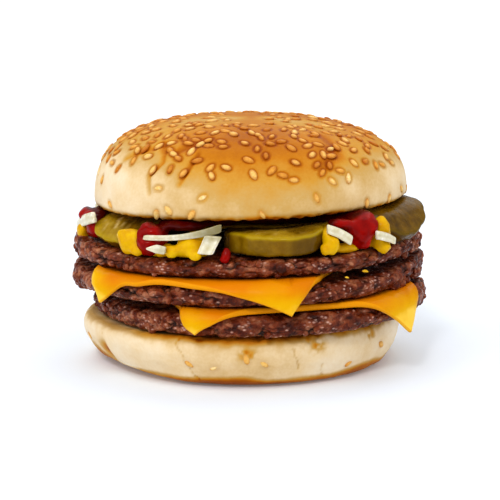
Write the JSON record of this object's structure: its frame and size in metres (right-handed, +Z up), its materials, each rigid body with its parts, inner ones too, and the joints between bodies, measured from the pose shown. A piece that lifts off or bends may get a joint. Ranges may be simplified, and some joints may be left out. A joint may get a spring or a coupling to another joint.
{
  "type": "triple cheeseburger",
  "caption": "Stacked cheeseburger in a sesame seed bun, with beef patties, draped cheese slices, pickle slices, onion strips, mustard and ketchup.",
  "frame": {"origin": "centre of the lower bun half's flat underside, on the surface that the burger stands on", "axes": "+Z up through the stack, -Y towards the side that is served to the front, +X to the right of someone who looks at that side"},
  "size_m": [0.1153, 0.1168, 0.0797],
  "materials": {
    "bread": "baked crust, golden on the crown and pale cream low down",
    "beef": "browned and craggy, with small moist highlights",
    "cheese": "smooth, half melted",
    "pickle": "wet",
    "onion": "moist, slightly translucent",
    "mustard": "glossy sauce",
    "ketchup": "glossy sauce"
  },
  "bodies": {
    "root": {"bun_bottom": "bread", "bun_top": "bread", "patty_bottom": "beef", "patty_middle": "beef", "patty_top": "beef", "cheese_lower": "cheese", "cheese_upper": "cheese", "pickle_left": "pickle", "pickle_front": "pickle", "pickle_right": "pickle", "pickle_back_right": "pickle", "pickle_back_left": "pickle", "onion_far_left": "onion", "onion_strip": "onion", "onion_in_ketchup": "onion", "onion_block": "onion", "onion_right": "onion", "onion_far_right": "onion", "onion_back_right": "onion", "onion_back": "onion", "onion_back_left": "onion", "mustard": "mustard", "ketchup": "ketchup"}
  },
  "joints": []
}
